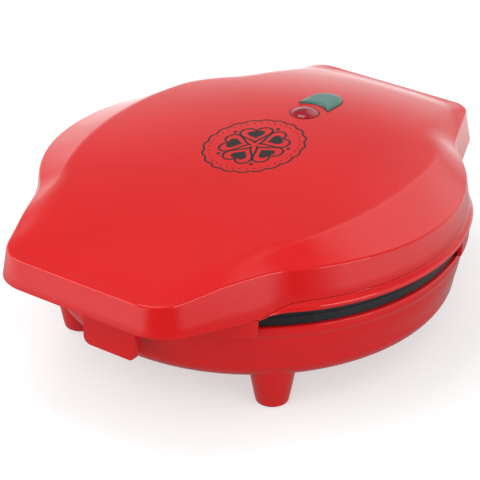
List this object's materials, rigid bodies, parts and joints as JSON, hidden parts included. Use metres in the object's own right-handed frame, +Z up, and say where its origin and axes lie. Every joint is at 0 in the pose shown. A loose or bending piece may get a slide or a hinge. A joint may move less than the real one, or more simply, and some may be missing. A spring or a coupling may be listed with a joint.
{
  "type": "heart waffle maker",
  "caption": "Round countertop heart waffle maker in glossy red plastic: hinged lid with crowned top and front handle, two five-heart plates, front clip, two lamp lenses and four feet.",
  "frame": {"origin": "On the floor, under the middle of the closed machine's outline", "axes": "+X right seen from the front, +Y from the handle to the hinge, +Z up"},
  "size_m": [0.22, 0.2714, 0.0951],
  "materials": {
    "red_shell": "glossy moulded red plastic",
    "plate_coating": "dark non-stick coating on cast aluminium",
    "steel": "plain bright steel",
    "tin": "thin tin plate",
    "pale_rubber": "pale matt rubber",
    "dark_plastic": "dark heat-proof plastic",
    "pale_ceramic": "pale unglazed ceramic",
    "red_lens": "translucent red plastic",
    "green_lens": "translucent green plastic",
    "lamp_glass": "clear lamp glass"
  },
  "bodies": {
    "base": {"base_housing": "red_shell", "foot_pad_1": "pale_rubber", "foot_pad_2": "pale_rubber", "foot_pad_3": "pale_rubber", "foot_pad_4": "pale_rubber", "lower_plate": "plate_coating", "lower_heater": "steel", "lower_reflector": "tin", "base_screw_1": "steel", "base_screw_2": "steel", "base_screw_3": "steel", "base_screw_4": "steel", "thermostat": "dark_plastic", "thermal_fuse": "tin", "terminal_block": "pale_ceramic", "cord_gland": "dark_plastic", "hinge_pin_left": "steel", "hinge_pin_right": "steel"},
    "lid": {"cover_screw_1": "steel", "cover_screw_2": "steel", "cover_screw_3": "steel", "cover_screw_4": "steel", "lamp_holder": "dark_plastic", "latch_pin": "steel", "lid_cover": "red_shell", "lid_frame": "red_shell", "power_lamp": "lamp_glass", "power_lens": "red_lens", "ready_lamp": "lamp_glass", "ready_lens": "green_lens", "upper_heater": "steel", "upper_plate": "plate_coating", "upper_reflector": "tin", "upper_screw_1": "steel", "upper_screw_2": "steel", "upper_screw_3": "steel", "upper_screw_4": "steel"},
    "latch": {"latch_clip": "red_shell"}
  },
  "joints": [
    {"name": "lid_hinge", "type": "hinge", "parent": "base", "child": "lid", "pos_m": [0, 0.12175, 0.05545], "axis": [-1, 0, 0], "range_deg": [0, 95]},
    {"name": "latch_pivot", "type": "hinge", "parent": "lid", "child": "latch", "pos_m": [0, -0.10975, 0.0675], "axis": [-1, 0, 0], "range_deg": [0, 25]}
  ]
}
